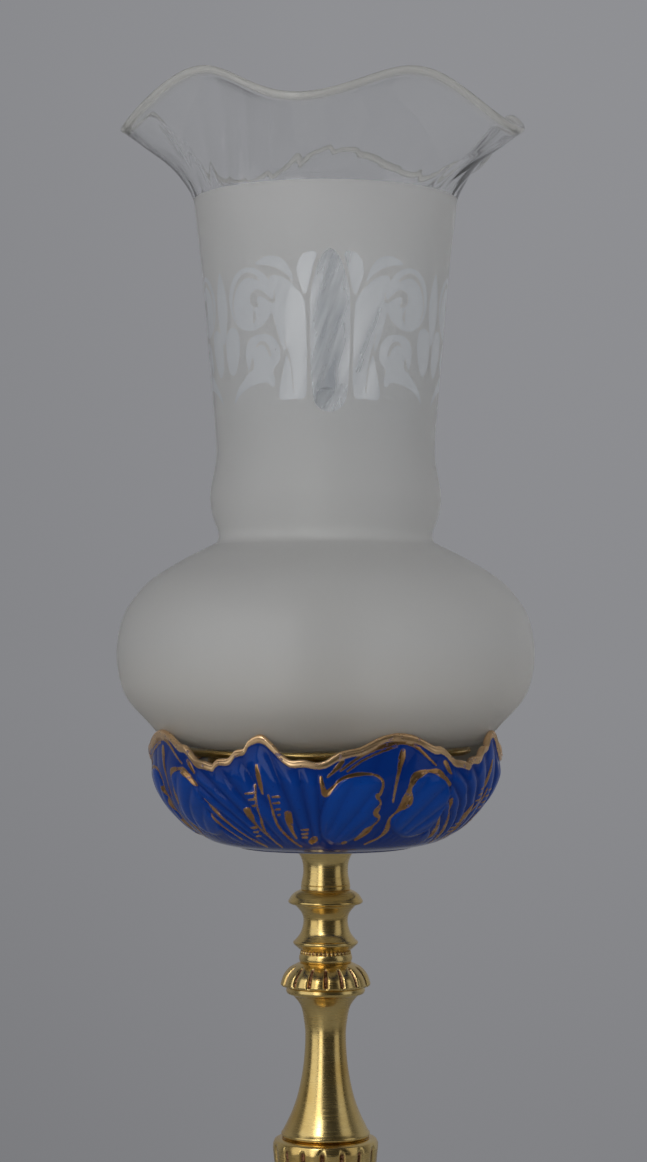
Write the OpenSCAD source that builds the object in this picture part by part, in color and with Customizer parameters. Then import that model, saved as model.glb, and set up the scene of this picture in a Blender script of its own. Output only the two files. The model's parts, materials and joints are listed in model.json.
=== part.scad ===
// Glass table lamp: a frosted glass shade with a clear ruffled mouth stands in a brass gallery,
// inside a leaf-moulded porcelain bowl, on a turned and fluted brass column with a weighted foot.
// Millimetres, +Z up. The origin is the centre of the felt face that rests on the table, and the
// front of the lamp faces -Y. Angles named "turn" run from the front towards +X.

/* [Glass shade] */
// Radius of the globe at its widest
globe_r = 80.1; // [76:0.1:84]
// Wall thickness of the blown glass
glass_wall = 2.2; // [1.8:0.1:2.6]
// Number of ruffles round the mouth
ruffles = 5; // [4:1:6]
// Rise and fall of the ruffled mouth about its mean height
ruffle_height = 6.8; // [3:0.1:8]
// Radius of the rolled bead along the mouth
bead_r = 1.4; // [1.2:0.1:1.6]

/* [Leaf bowl] */
// Radius of the porcelain bowl at its rim
bowl_r = 68; // [67:0.5:69]
// Height of the leaf tips above the dips between them
leaf_rise = 11.2; // [8:0.2:11.2]

/* [Column] */
// Radius of the slimmest part of the column
column_r = 7.8; // [7.6:0.1:8.4]
// Number of flutes round the collar and the urn
flutes = 16; // [12:1:18]

/* [Foot] */
// Radius of the foot
foot_r = 70; // [69:0.5:72]
// Number of lobes round the foot
foot_lobes = 24; // [20:1:28]
// Thickness of the felt under the foot
felt_t = 1.5; // [1:0.1:2]

/* [Standard parts] */
// Radius of the threaded rod
rod_r = 4.9; // [4.9:0.05:4.95]
// Radius of the rod's wire hole
rod_hole_r = 3.5; // [3:0.1:3.8]
// Radius of the cord hole in the foot's bush
cord_hole_r = 2.9; // [2.6:0.1:2.9]

/* [Hidden] */

brass = "#b8963e";
iron = "#4a4a4c";
black_plastic = "#26221f";

clear = 0.3;                  // gap round a piece that passes through another
hole_r = rod_r + clear;       // rod hole through every column piece
eps = 0.01;

// Heights of the joints between the pieces, from the table up
foot_top_z = 28.5;
dome_top_z = 64.5;
knop_top_z = 82;
ring_top_z = 86.5;
urn_top_z = 130.3;
baluster_top_z = 187.8;
collar_top_z = 197;
band_top_z = 201.6;
spool_top_z = 219.3;
drip_top_z = 224.8;
cup_top_z = 240.8;
washer_t = 0.5;
bowl_z = cup_top_z + washer_t;
bowl_floor_t = 5;
gallery_z = bowl_z + bowl_floor_t + washer_t;
gallery_t = 1.2;
gallery_nut_t = 5;
spacer_z = gallery_z + gallery_t + gallery_nut_t;
holder_z = 281;
holder_join_z = 300;
holder_top_z = 338;
contact_z = 315.5;
bulb_tip_z = 418;
shade_z = 264.3;
rod_z = 2.2;
rod_top_z = 289;

$fn = 96;

// A smooth curve through the points p, with n straight steps in each span (Catmull-Rom).
function between(a, b, c, d, t) =
    0.5 * (2 * b + (c - a) * t + (2 * a - 5 * b + 4 * c - d) * t * t
        + (3 * b - a - 3 * c + d) * t * t * t);
function smooth(p, n = 4) = let (last = len(p) - 1) concat(
    [for (i = [0 : last - 1], k = [0 : n - 1])
        between(p[max(i - 1, 0)], p[i], p[i + 1], p[min(i + 2, last)], k / n)],
    [p[last]]);

// Points of an arc about c, from angle a to angle b.
function arc(c, r, a, b, n = 6) =
    [for (i = [0 : n]) c + r * [cos(a + (b - a) * i / n), sin(a + (b - a) * i / n)]];

// The curve p moved sideways by t, to the left of its direction of travel.
function beside(p, t) = let (last = len(p) - 1)
    [for (i = [0 : last]) let (d = p[min(i + 1, last)] - p[max(i - 1, 0)])
        p[i] + t * [-d[1], d[0]] / norm(d)];

function reversed(p) = [for (i = [len(p) - 1 : -1 : 0]) p[i]];
function smoothstep(t) = let (c = min(max(t, 0), 1)) c * c * (3 - 2 * c);

// The shortest way round from angle b to angle a, in degrees.
function turn_from(a, b) = let (d = (a - b) % 360) d > 180 ? d - 360 : d < -180 ? d + 360 : d;

// A turned solid with a round hole through it: outline runs from its bottom edge to its top edge.
module turned(outline, bore = hole_r) {
    rotate_extrude()
        polygon(concat([[bore, outline[0][1]]], outline, [[bore, outline[len(outline) - 1][1]]]));
}

// A ring with flat faces.
module ring(r, bore, z, h) {
    translate([0, 0, z])
        difference() {
            cylinder(h = h, r = r);
            translate([0, 0, -1]) cylinder(h = h + 2, r = bore);
        }
}

// Grooves cut in a turned surface: each is a round bar from [radius, z] a to b.
module grooves(count, a, b, bar_r) {
    for (i = [0 : count - 1])
        rotate([0, 0, -90 + i * 360 / count])
            translate([a[0], 0, a[1]])
                rotate([0, atan2(b[0] - a[0], b[1] - a[1]), 0])
                    cylinder(h = norm(b - a), r = bar_r, $fn = 24);
}

// A closed shell whose cross-section is bent round by at(k, turn): k is the section point's
// number, and the result is [radius, z].
module bent_shell(section_points, steps, points) {
    faces = [for (k = [0 : section_points - 1], i = [0 : steps - 1])
        let (k2 = (k + 1) % section_points, i2 = (i + 1) % steps,
             a = k * steps + i, b = k * steps + i2, c = k2 * steps + i2, d = k2 * steps + i)
            each [[a, c, b], [a, d, c]]];
    polyhedron(points, faces);
}

// ---- Foot ----

module felt_pad() {
    color("#2f4a34") ring(foot_r - 5, 16, 0, felt_t);
}

weight_r = 56;
weight_top_z = 15.5;
recess_r = 15;
recess_top_z = 9.5;
cord_z = 7.4;
cord_channel_w = 10;

module foot_weight() {
    color(iron) difference() {
        ring(weight_r, hole_r, felt_t, weight_top_z - felt_t);
        translate([0, 0, felt_t - 1]) cylinder(h = recess_top_z - felt_t + 1, r = recess_r);
        translate([-cord_channel_w / 2, 0, felt_t - 1])
            cube([cord_channel_w, weight_r + 1, recess_top_z + 2 - felt_t + 1]);
    }
}

rim_wall_r = foot_r - 1.5;
bush_seat_y = rim_wall_r - 0.4;

lobe_path = [[foot_r - 3.6, 14.5], [63.4, 18.6], [56.6, 22.6], [47.4, 25.2]];

// Half of the foot's section: outside from the table edge up to the seat of the dome.
function foot_outline() = concat(
    [[foot_r - 0.6, felt_t], [foot_r, felt_t + 0.6], [foot_r, 4.2], [foot_r - 0.5, 5.2]],
    [[rim_wall_r, 5.6], [rim_wall_r, 12]],
    [[foot_r - 2.6, 12.8], [foot_r - 3.4, 13.8]],
    lobe_path,
    [[47, 26.2], [47, 27.6], [46.2, foot_top_z]]);

module foot_rim() {
    seat_rib = [[40, foot_top_z], [40, weight_top_z], [44, weight_top_z], [44, 22]];
    inside = concat(seat_rib, [[54, 19.2], [60.5, 15.2], [64.5, 11.5], [66, 8.5], [66, felt_t]]);
    color(brass) difference() {
        rotate_extrude() polygon(concat(foot_outline(), inside));
        grooves(foot_lobes, [67.9, 16], [49.4, 27.3], 1.3);
        translate([0, 0, cord_z]) rotate([-90, 0, 0]) cylinder(h = foot_r + 2, r = cord_hole_r + 1);
        translate([0, bush_seat_y, cord_z]) rotate([-90, 0, 0]) cylinder(h = 5, r = cord_hole_r + 2.3);
    }
}

module foot_dome() {
    outside = concat(
        [[44.6, foot_top_z], [45, 29.2], [45, 31.2], [44.4, 32.2]],
        smooth([[42.8, 32.8], [34.5, 35], [25.5, 40.5], [19, 49], [15.8, 58]], 5),
        [[17.4, 59.2], [17.9, 60.8], [17.4, 62.4], [15.2, 63.4], [13.6, dome_top_z]]);
    inside = concat([[hole_r, dome_top_z], [hole_r, 54], [11, 54]],
        smooth([[14.5, 49], [22, 37.5], [31, 32], [40, foot_top_z]], 4));
    color(brass) rotate_extrude() polygon(concat(outside, inside));
}

module cord_bush() {
    color(black_plastic)
        translate([0, 0, cord_z]) rotate([-90, 0, 0])
            rotate_extrude() polygon([
                [cord_hole_r, bush_seat_y - 3.5], [cord_hole_r + 0.85, bush_seat_y - 3.5],
                [cord_hole_r + 0.9, bush_seat_y], [cord_hole_r + 2, bush_seat_y],
                [cord_hole_r + 2, bush_seat_y + 1], [cord_hole_r + 1.4, bush_seat_y + 1.7],
                [cord_hole_r, bush_seat_y + 1.7]]);
}

module foot_washer() {
    color("silver") ring(11, hole_r, 8, recess_top_z - 8);
}

module foot_nut() {
    color(brass) difference() {
        translate([0, 0, 3]) cylinder(h = 5, r = 9.8, $fn = 6);
        translate([0, 0, 2]) cylinder(h = 7, r = rod_r + 0.1);
    }
}

module threaded_rod() {
    color("#a58a45") ring(rod_r, rod_hole_r, rod_z, rod_top_z - rod_z);
}

// ---- Column, from the foot up ----

module lower_knop() {
    color(brass) turned(concat(
        [[12.4, dome_top_z], [12.8, 65.6], [11.4, 66.6]],
        smooth([[11.2, 67.2], [16.2, 70.2], [18.2, 74.2], [16.4, 78.2], [11.6, 80.6]], 5),
        [[12.2, 81.2], [12, knop_top_z]]));
}

module urn_ring() {
    color(brass) turned(concat(
        [[9.8, knop_top_z], [11.8, 82.8]], arc([11.8, 84.3], 1.5, -80, 80), [[9.8, ring_top_z]]));
}

module fluted_urn() {
    seat_z = 129.2;
    color(brass) difference() {
        turned(concat(
            [[9.2, ring_top_z], [9.2, 88.2]],
            smooth([[10.4, 89.2], [14, 94.5], [17, 104], [19.1, 117.5], [20.1, 126.6]], 3),
            [[20.1, 128.2], [19.5, 129.6], [17.9, urn_top_z], [16.4, urn_top_z], [16.4, seat_z]]));
        grooves(flutes, [14.4, 92.6], [20.75, 125.8], 1.15);
    }
}

module baluster() {
    color(brass) turned(concat(
        [[15.4, 129.2], [15.8, 130.4], [16.9, 131.2], [17, 132.2]],
        smooth([[16.2, 133.2], [12.7, 140.6], [10.3, 148.1], [8.5, 158], [column_r, 168.5],
            [8.3, 175], [9.6, 180.6], [12.6, 184.6]], 5),
        [[14.8, 185.4], [15.2, 186.4], [14.9, baluster_top_z]]));
}

module fluted_collar() {
    color(brass) difference() {
        turned(concat(
            [[14.9, baluster_top_z], [17, 188.3]],
            smooth([[17.2, 189], [16.1, 192.2], [13.7, 195], [10.6, 196.8]], 3),
            [[10.2, collar_top_z]]));
        grooves(flutes, [18.7, 187.4], [12.6, 198.2], 1.05);
    }
}

module beaded_band() {
    beads = 36;
    color(brass) difference() {
        turned(concat(
            [[9.6, collar_top_z]], arc([7.2, 198.8], 3, -36, 36, 6),
            [[9.2, 200.6], [9.2, band_top_z]]));
        for (i = [0 : beads - 1])
            rotate([0, 0, i * 360 / beads]) translate([9.35, 0, 200.7]) cylinder(h = 1, r = 0.3, $fn = 16);
    }
}

module column_spool() {
    color(brass) turned(concat(
        [[9.2, band_top_z], [10, 202.1], [12.3, 204.2], [12.5, 204.8], [12.2, 205.3]],
        smooth([[11.7, 205.6], [9.5, 208.6], [8.5, 212.8], [9.2, 216], [11.6, 218.9]], 5),
        [[11.8, spool_top_z]]));
}

module drip_ring() {
    color(brass) turned(concat(
        [[11.8, spool_top_z], [13.6, 219.5], [14.3, 220.1], [14.3, 220.7]],
        smooth([[14.1, 221], [13.1, 222.6], [11.6, 223.9], [10.1, 224.6]], 4),
        [[10, drip_top_z]]));
}

module neck_cup() {
    color(brass) turned(concat(
        [[9.4, drip_top_z], [9.5, 226.6], [9.2, 226.8], [9.4, 227]],
        smooth([[9.3, 227.6], [8.6, 231.6], [9, 236], [11, 240]], 5),
        [[11, cup_top_z]]));
}

module lower_washer() {
    color("#6b4a2c") ring(10.5, hole_r, cup_top_z, washer_t);
}

// ---- Leaf bowl ----

bowl_steps = 72;
bowl_hole_r = 5.6;
leaf_turn = -22;              // turn of the first narrow leaf
leaf_pitch = 90;              // from one narrow leaf to the next, with a broad one between
broad_leaf_turn = 24;
rim_dip_z = 275.3;
bowl_lobe_z = 258;            // the lobed rim begins to rise above this height

function hill(d, w) = exp(-pow(d / w, 2));

// Height of the bowl's rim at a turn: narrow leaves with two shoulders, and broad leaves between.
function leaf_rim_z(turn) =
    let (n = turn_from(4 * turn, 4 * leaf_turn) / 4, b = turn_from(4 * turn, 4 * broad_leaf_turn) / 4)
    rim_dip_z + (leaf_rise - 0.5) * hill(n, 7.5) + 3 * hill(abs(n) - 13, 3.5)
        + leaf_rise * hill(b, 13) + 1.5 * hill(abs(b) - 18, 3);

function bowl_section() =
    let (side = smooth([[33.5, bowl_z], [42, bowl_z + 1.6], [52.9, 249.7], [60.3, 257.4],
            [64.2, 266], [bowl_r - 0.8, 276], [bowl_r, 286]], 2),
        lip = arc([bowl_r - 1.5, 286], 1.5, 0, 180, 3),
        inner = smooth([[bowl_r - 3, 286], [bowl_r - 4.6, 275], [59.6, 265], [54.4, 257],
            [44, bowl_z + 8], [30, bowl_z + bowl_floor_t]], 2))
    concat([[bowl_hole_r, bowl_z]], side, [for (i = [1 : 2]) lip[i]], inner,
        [[bowl_hole_r, bowl_z + bowl_floor_t]]);

// A section point raised or lowered with the rim above it.
function leafed(p, turn) =
    p[1] < bowl_lobe_z ? p
        : [p[0], bowl_lobe_z + (p[1] - bowl_lobe_z) * (leaf_rim_z(turn) - bowl_lobe_z) / (287.5 - bowl_lobe_z)];

module leaf_bowl() {
    section = bowl_section();
    points = [for (p = section, i = [0 : bowl_steps - 1])
        let (turn = i * 360 / bowl_steps, q = leafed(p, turn)) [q[0] * sin(turn), -q[0] * cos(turn), q[1]]];
    color("#1b3f9e") bent_shell(len(section), bowl_steps, points);
}

module upper_washer() {
    color("#6b4a2c") ring(14, hole_r, bowl_z + bowl_floor_t, washer_t);
}

// ---- Gallery and lampholder ----

ledge_z = shade_z - clear;
gallery_wall_r = 43.9;
gallery_top_z = 279;

module gallery_nut() {
    color(brass) turned([[9, gallery_z + gallery_t], [9.6, gallery_z + gallery_t + 0.6],
        [9.6, spacer_z - 0.6], [9, spacer_z]], rod_r + 0.1);
}

module shade_gallery() {
    inside = concat([[24, gallery_z + gallery_t]],
        smooth([[27, gallery_z + gallery_t + 0.4], [34, 253], [39.2, 260], [40.2, ledge_z]], 3),
        [[gallery_wall_r, ledge_z], [gallery_wall_r, gallery_top_z - 0.6]]);
    outside = concat([[gallery_wall_r + gallery_t, gallery_top_z - 1.8],
            [gallery_wall_r + gallery_t, ledge_z - 0.4], [gallery_wall_r - 0.6, ledge_z - gallery_t]],
        smooth([[41.6, ledge_z - gallery_t - 0.4], [40.4, 259.2], [35, 251.8], [27.6, gallery_z + 0.4]], 3),
        [[24, gallery_z]]);
    bead = arc([gallery_wall_r + 1, gallery_top_z - 0.9], 1.1, 165, -70, 8);
    color(brass) rotate_extrude()
        polygon(concat([[hole_r, gallery_z], [hole_r, gallery_z + gallery_t]], inside, bead, outside));
}

module spacer_tube() {
    color(brass) ring(6.5, hole_r, spacer_z, holder_z - spacer_z);
}

module holder_base() {
    outside = concat([[7.4, holder_z], [7.8, holder_z + 0.5], [7.8, 285]],
        smooth([[8, 286], [11, 289], [13.3, 293], [13.8, 297]], 3), [[13.8, holder_join_z]]);
    inside = [[12.2, holder_join_z], [12.2, 296], [10, 291], [rod_r + 0.1, 290], [rod_r + 0.1, holder_z]];
    color(black_plastic) rotate_extrude() polygon(concat(outside, inside));
}

module holder_skirt() {
    color(black_plastic) rotate_extrude() polygon([
        [12.2, holder_join_z], [13.8, holder_join_z], [13.8, 302], [13.5, 302.6], [13.4, holder_top_z - 1],
        [12.6, holder_top_z], [9.2, holder_top_z], [9, holder_top_z - 0.4], [9, 336], [12.2, 334.5]]);
}

insert_z = 300.5;
insert_top_z = 312;
shell_r = 7.1;
shell_t = 0.5;

module holder_insert() {
    color("ivory") difference() {
        ring(11.9, 1.8, insert_z, insert_top_z - insert_z);
        for (side = [-1, 1])
            translate([side * 8, 0, insert_z - 1]) cylinder(h = 6, r = 1.9);
        translate([0, 0, insert_top_z - 2]) cylinder(h = 3, r = shell_r + shell_t + 0.1);
    }
}

module holder_thread_shell() {
    color("silver") rotate_extrude() polygon([
        [4.2, insert_top_z - 2], [shell_r + shell_t, insert_top_z - 2], [shell_r + shell_t, 333],
        [shell_r + 0.9, 333.8], [shell_r + 0.4, 333.9], [shell_r, 333],
        [shell_r, insert_top_z - 2 + shell_t], [4.2, insert_top_z - 2 + shell_t]]);
}

module holder_contact() {
    color("#c08a4a") rotate_extrude() polygon([
        [0, 306], [1.7, 306], [1.7, 312.6], [3.2, 313.4], [3.2, 314.2], [1.6, contact_z - clear],
        [0, contact_z - clear]]);
}

module terminal_screws() {
    for (side = [-1, 1])
        color("silver") translate([side * 8, 0, 0])
            difference() {
                union() {
                    translate([0, 0, 299]) cylinder(h = 1.5, r = 2.4);
                    translate([0, 0, 300.4]) cylinder(h = 4.6, r = 1.8);
                }
                translate([-3, -0.4, 298]) cube([6, 0.8, 1.8]);
            }
}

// ---- Glass shade ----

shade_steps = 60;
collar_r = 43;
ruffle_start_z = 489;         // the clear mouth begins here and flares
mouth_z = 518.2;
mouth_r = 75.6;
ruffle_turn = -6.2;           // turn of the first ruffle if all were even
ruffle_drift = 2.2;           // how far hand-crimping moves the ruffles, in degrees
drift_turn = -114;
ruffle_reach = 3.1;            // a drooping ruffle also reaches outwards
mouth_lift = 3.2;             // the mouth stands a little higher on one side
lift_turn = -42;

// 1 where a ruffle droops outwards, -1 where it stands up between two.
function droop(turn) =
    cos(ruffles * (turn - ruffle_turn - ruffle_drift * cos(turn - drift_turn)));

function shade_outline() = concat(
    [[collar_r, shade_z], [collar_r, 279.4]],
    smooth([[collar_r + 0.5, 280.6], [50, 282], [59.7, 284.3], [66.3, 288.6], [75.4, 297.6],
        [78.8, 305.4], [globe_r, 316.5], [78, 328.3], [73.9, 336], [66.6, 343.8], [54, 351.7],
        [43.6, 357.2]], 1),
    smooth([[40.9, 361], [43.6, 369.5], [44.35, 376], [42.6, 386.5], [42.1, 396], [45.1, 430],
        [47.9, 466], [50.6, 489.2]], 1),
    smooth([[52.6, 494], [60, 504.5], [mouth_r - 6, mouth_z - 4.6], [mouth_r, mouth_z]], 2));

function shade_section() =
    let (outer = shade_outline(), last = len(outer) - 1,
        inner = reversed(beside(outer, glass_wall)),
        tip = (outer[last] + inner[0]) / 2, bead = arc(tip, bead_r, -75, 195, 5))
    concat([for (i = [0 : last - 1]) outer[i]], bead, [for (i = [1 : last - 1]) inner[i]],
        [[collar_r - glass_wall, shade_z]]);

// A section point moved with the ruffle: the mouth droops outwards or stands up and inwards.
function ruffled(p, turn) =
    let (w = pow(smoothstep((p[1] - ruffle_start_z) / (mouth_z - ruffle_start_z)), 1.2), d = droop(turn))
    [p[0] + ruffle_reach * w * d, p[1] + w * (mouth_lift * cos(turn - lift_turn) - ruffle_height * d)];

module glass_shade() {
    section = shade_section();
    points = [for (p = section, i = [0 : shade_steps - 1])
        let (turn = i * 360 / shade_steps, q = ruffled(p, turn)) [q[0] * sin(turn), -q[0] * cos(turn), q[1]]];
    color([0.9, 0.92, 0.9, 0.6]) bent_shell(len(section), shade_steps, points);
}

// ---- Bulb ----

cap_r = 6.95;
cap_z = 320.5;
cap_top_z = 337;
neck_r = 8.2;

module bulb_contact() {
    color("silver") rotate_extrude() polygon([[0, contact_z], [1.8, contact_z], [2.6, 316.3],
        [2.6, 317], [0, 317]]);
}

module bulb_insulator() {
    color("#1d1a20") translate([0, 0, 317]) cylinder(h = cap_z - 317, r1 = 3.2, r2 = 6);
}

module bulb_cap() {
    turns = 5;
    pitch = 2.82;
    wave = [for (i = [0 : turns * 4]) [cap_r - 0.25 + 0.25 * cos(i * 90), cap_z + 1.2 + i * pitch / 4]];
    color("silver") rotate_extrude() polygon(concat([[0, cap_z], [6, cap_z], [6.4, cap_z + 0.8]], wave,
        [[6.6, cap_top_z - 0.6], [8, cap_top_z], [0, cap_top_z]]));
}

function bulb_outline() = smooth([[neck_r, cap_top_z], [9.4, 341], [13.6, 348.5], [17, 358], [17.5, 364],
    [16.2, 374], [12.6, 389], [8.6, 402], [6.2, 410.5], [4.6, 415.5], [1.6, bulb_tip_z]], 3);

module bulb_glass() {
    outer = bulb_outline();
    wall = 0.8;
    inner = [for (p = reversed(beside(outer, wall))) if (p[0] > 0.2 && p[1] > cap_top_z + 0.4) p];
    color([0.9, 0.95, 0.95, 0.4]) rotate_extrude() polygon(concat(
        [[neck_r - wall, cap_top_z]], outer,
        [[0, bulb_tip_z], [0, bulb_tip_z - wall]], inner));
}

module bulb_stem() {
    color([0.85, 0.9, 0.9, 0.6]) rotate_extrude() polygon(concat(
        [[0, cap_top_z], [6.6, cap_top_z]],
        smooth([[6.4, 338], [3.6, 342], [2.2, 349], [1.9, 358]], 3), [[0, 358]]));
}

lead_r = 0.4;
lead_x = 1.1;
lead_top = [6.5, 377];        // half spread and height of the lead tips

// A straight round wire from a to b.
module wire(a, b, r) {
    d = b - a;
    translate(a) rotate([0, acos(d[2] / norm(d)), atan2(d[1], d[0])]) cylinder(h = norm(d), r = r, $fn = 16);
}

module bulb_leads() {
    for (side = [-1, 1])
        color("silver") wire([side * (lead_x + 1.2), 0, 357], [side * lead_top[0], 0, lead_top[1]], lead_r);
}

module bulb_filament() {
    hook_z = 384;
    gap = 0.5;
    color("#8a8a8a") {
        for (side = [-1, 1]) {
            wire([side * lead_top[0], 0, lead_top[1] + gap], [side * 2.2, 0, hook_z], lead_r);
            translate([side * 2.2, 0, hook_z]) sphere(r = lead_r, $fn = 24);
        }
        wire([-2.2, 0, hook_z], [2.2, 0, hook_z], lead_r);
    }
}

felt_pad();
foot_weight();
foot_rim();
foot_dome();
cord_bush();
foot_washer();
foot_nut();
threaded_rod();
lower_knop();
urn_ring();
fluted_urn();
baluster();
fluted_collar();
beaded_band();
column_spool();
drip_ring();
neck_cup();
lower_washer();
leaf_bowl();
upper_washer();
shade_gallery();
gallery_nut();
spacer_tube();
holder_base();
holder_skirt();
holder_insert();
holder_thread_shell();
holder_contact();
terminal_screws();
glass_shade();
bulb_contact();
bulb_insulator();
bulb_cap();
bulb_glass();
bulb_stem();
bulb_leads();
bulb_filament();
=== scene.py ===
import json
import math
import bmesh
import bpy
import numpy as np
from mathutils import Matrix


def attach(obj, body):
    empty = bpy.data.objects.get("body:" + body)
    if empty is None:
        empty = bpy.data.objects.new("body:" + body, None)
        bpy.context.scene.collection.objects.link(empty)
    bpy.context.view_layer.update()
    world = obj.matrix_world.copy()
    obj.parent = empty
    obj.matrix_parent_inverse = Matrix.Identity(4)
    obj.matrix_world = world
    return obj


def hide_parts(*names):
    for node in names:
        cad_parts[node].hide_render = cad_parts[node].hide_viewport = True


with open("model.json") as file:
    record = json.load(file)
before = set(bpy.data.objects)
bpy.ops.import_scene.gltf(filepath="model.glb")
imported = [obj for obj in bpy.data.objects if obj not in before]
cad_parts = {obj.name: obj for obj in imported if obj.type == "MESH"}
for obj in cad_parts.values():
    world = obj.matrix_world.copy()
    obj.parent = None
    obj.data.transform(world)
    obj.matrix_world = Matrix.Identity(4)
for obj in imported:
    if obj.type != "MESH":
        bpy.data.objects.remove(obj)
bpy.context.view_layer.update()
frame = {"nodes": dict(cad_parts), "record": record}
print("frame loaded:", len(frame["nodes"]), "nodes")

mm = 0.001


# curves and meshes

def smoothCurve(points, steps=6, closed=False):
    # Catmull-Rom through the points: each span is half of
    # 2b + (c - a) t + (2a - 5b + 4c - d) t^2 + (3b - a - 3c + d) t^3
    p = np.asarray(points, float)
    padded = np.vstack([p[-1:], p, p[:2]]) if closed else np.vstack([p[:1], p, p[-1:]])
    a, b, c, d = padded[:-3, None], padded[1:-2, None], padded[2:-1, None], padded[3:, None]
    t = (np.arange(steps) / steps)[None, :, None]
    curve = 0.5 * (2 * b + (c - a) * t + (2 * a - 5 * b + 4 * c - d) * t ** 2
                   + (3 * b - a - 3 * c + d) * t ** 3)
    curve = curve.reshape(-1, p.shape[1])
    return curve if closed else np.vstack([curve, p[-1:]])


def easedCorners(points, size=0.35, sharper=24):
    # every corner of the outline that turns more than `sharper` degrees becomes a short curve:
    # (1 - t)^2 before + 2 t (1 - t) corner + t^2 after
    p = np.asarray(points, float)
    out = []
    for i in range(len(p)):
        before, here, after = p[i - 1], p[i], p[(i + 1) % len(p)]
        u, v = before - here, after - here
        lu, lv = np.linalg.norm(u), np.linalg.norm(v)
        if min(lu, lv) < 1e-9:
            continue
        turning = 180 - math.degrees(math.acos(max(-1, min(1, float(u @ v) / (lu * lv)))))
        if turning < sharper:
            out.append(here)
            continue
        reach = min(size, 0.45 * lu, 0.45 * lv)
        start, end = here + u / lu * reach, here + v / lv * reach
        for t in (0, 0.33, 0.67, 1):
            out.append((1 - t) ** 2 * start + 2 * t * (1 - t) * here + t * t * end)
    return np.array(out)


def resampled(curve, count):
    # the same curve with `count` points evenly spaced along it
    length = np.concatenate([[0], np.cumsum(np.linalg.norm(np.diff(curve, axis=0), axis=1))])
    s = np.linspace(0, length[-1], count)
    return np.column_stack([np.interp(s, length, curve[:, k]) for k in range(curve.shape[1])])


def besideCurve(curve, gap):
    # the curve moved sideways by gap, to the left of its direction of travel
    d = np.gradient(curve, axis=0)
    return curve + gap * np.column_stack([-d[:, 1], d[:, 0]]) / np.linalg.norm(d, axis=1)[:, None]


def turnsOf(count):
    # angles all the way round, from the front towards +X
    return np.arange(count) * 2 * math.pi / count


def gridMesh(name, x, y, z, merge=False, attributes=None):
    # rows by columns of points in millimetres; quads join neighbours, and both ways close round
    rows, cols = x.shape
    mesh = bpy.data.meshes.new(name)
    verts = np.column_stack([x.ravel(), y.ravel(), z.ravel()]) * mm
    i = np.arange(rows)[:, None]
    j = np.arange(cols)[None, :]
    i2, j2 = (i + 1) % rows, (j + 1) % cols
    quads = np.stack([i * cols + j, i * cols + j2, i2 * cols + j2, i2 * cols + j], axis=-1).reshape(-1, 4)
    mesh.vertices.add(len(verts))
    mesh.vertices.foreach_set("co", verts.ravel())
    mesh.loops.add(quads.size)
    mesh.loops.foreach_set("vertex_index", quads.ravel())
    mesh.polygons.add(len(quads))
    mesh.polygons.foreach_set("loop_start", np.arange(len(quads)) * 4)
    mesh.update(calc_edges=True)
    for key, values in (attributes or {}).items():
        layer = mesh.attributes.new(key, "FLOAT", "POINT")
        layer.data.foreach_set("value", np.broadcast_to(values, x.shape).ravel().astype(np.float32))
    if merge:
        bm = bmesh.new()
        bm.from_mesh(mesh)
        bmesh.ops.remove_doubles(bm, verts=bm.verts, dist=1e-7)
        bmesh.ops.dissolve_degenerate(bm, edges=bm.edges, dist=1e-7)
        bm.to_mesh(mesh)
        bm.free()
    mesh.polygons.foreach_set("use_smooth", np.ones(len(mesh.polygons), bool))
    obj = bpy.data.objects.new(name, mesh)
    bpy.context.scene.collection.objects.link(obj)
    return obj


def turnedMesh(name, outline, cols=144, shape=None, merge=False, attributes=None):
    # an outline of [radius, height] points carried round the axis: x = r sin t, y = -r cos t
    turn = turnsOf(cols)[None, :]
    r = np.repeat(outline[:, :1], cols, axis=1)
    z = np.repeat(outline[:, 1:2], cols, axis=1)
    extra = {}
    if shape:
        r, z, extra = shape(r, z, turn)
    extra = {**extra, **(attributes or {})}
    return gridMesh(name, r * np.sin(turn), -r * np.cos(turn), z, merge=merge, attributes=extra)


def dress(obj, material, body, slot, *nodes):
    # the finish, the body that carries the piece, and the CAD nodes it stands for
    obj.data.materials.append(material)
    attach(obj, body)
    if nodes:
        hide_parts(*nodes)
    return obj


# flat drawings, as signed distances in mm, above 0 inside

def disc(x, y, centre, rx, ry=None):
    ry = ry or rx
    reach = np.hypot((x - centre[0]) / rx, (y - centre[1]) / ry)
    return (1 - reach) * min(rx, ry)


def lens(x, y, start, end, left, right):
    # the leaf between two arcs from start to end; each bulges by its sagitta, below 0 to hollow it
    s, e = np.array(start, float), np.array(end, float)
    chord = np.linalg.norm(e - s)
    along = (e - s) / chord
    across = np.array([-along[1], along[0]])
    middle = (s + e) / 2
    inside = np.full(np.shape(x), 1e3)
    for side, sagitta in ((1, left), (-1, right)):
        if abs(sagitta) < 1e-6:
            line = side * ((middle[0] - x) * across[0] + (middle[1] - y) * across[1])
            inside = np.minimum(inside, line)
            continue
        radius = (chord ** 2 / 4 + sagitta ** 2) / (2 * abs(sagitta))
        centre = middle + side * across * (sagitta - math.copysign(radius, sagitta))
        away = np.hypot(x - centre[0], y - centre[1])
        inside = np.minimum(inside, (radius - away) * math.copysign(1, sagitta))
    return inside


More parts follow.
